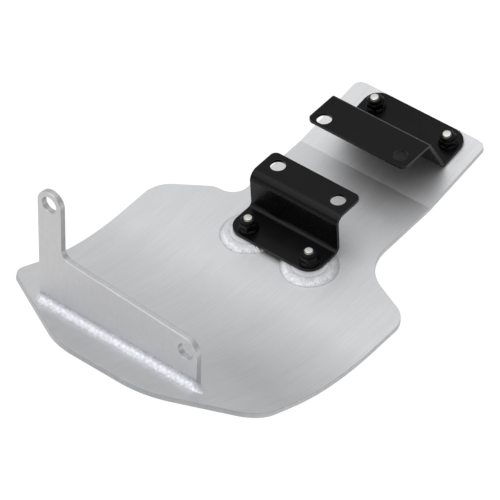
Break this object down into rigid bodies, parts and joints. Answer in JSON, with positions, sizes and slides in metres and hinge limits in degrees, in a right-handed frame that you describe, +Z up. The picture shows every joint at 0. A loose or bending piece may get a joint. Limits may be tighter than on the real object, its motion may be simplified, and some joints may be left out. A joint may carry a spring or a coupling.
{
  "type": "motorcycle skid plate",
  "caption": "Bent aluminium skid plate with a welded drilled front bracket and two bolted black steel Z brackets.",
  "frame": {"origin": "middle of the flat underside of the sheet, halfway between the roll and the tail fold", "axes": "+X across the sheet, away from the tall arm; +Y toward the narrow tail; +Z up"},
  "size_m": [0.1912, 0.3059, 0.1151],
  "materials": {
    "sheet": "fine brushed, satin",
    "plate": "satin",
    "weld": "rippled weld",
    "boss": "turned",
    "black_steel": "satin black coating",
    "bolt": "zinc plated",
    "nut": "black"
  },
  "bodies": {
    "root": {"skid_plate": "sheet", "front_bracket": "plate", "front_bracket_weld": "weld", "boss_left": "boss", "boss_right": "boss", "boss_weld_left": "weld", "boss_weld_right": "weld", "middle_bracket": "black_steel", "rear_bracket": "black_steel", "bolt_middle_left": "bolt", "nut_middle_left": "nut", "bolt_middle_right": "bolt", "nut_middle_right": "nut", "bolt_rear_left": "bolt", "nut_rear_left": "nut", "bolt_rear_right": "bolt", "nut_rear_right": "nut"}
  },
  "joints": []
}
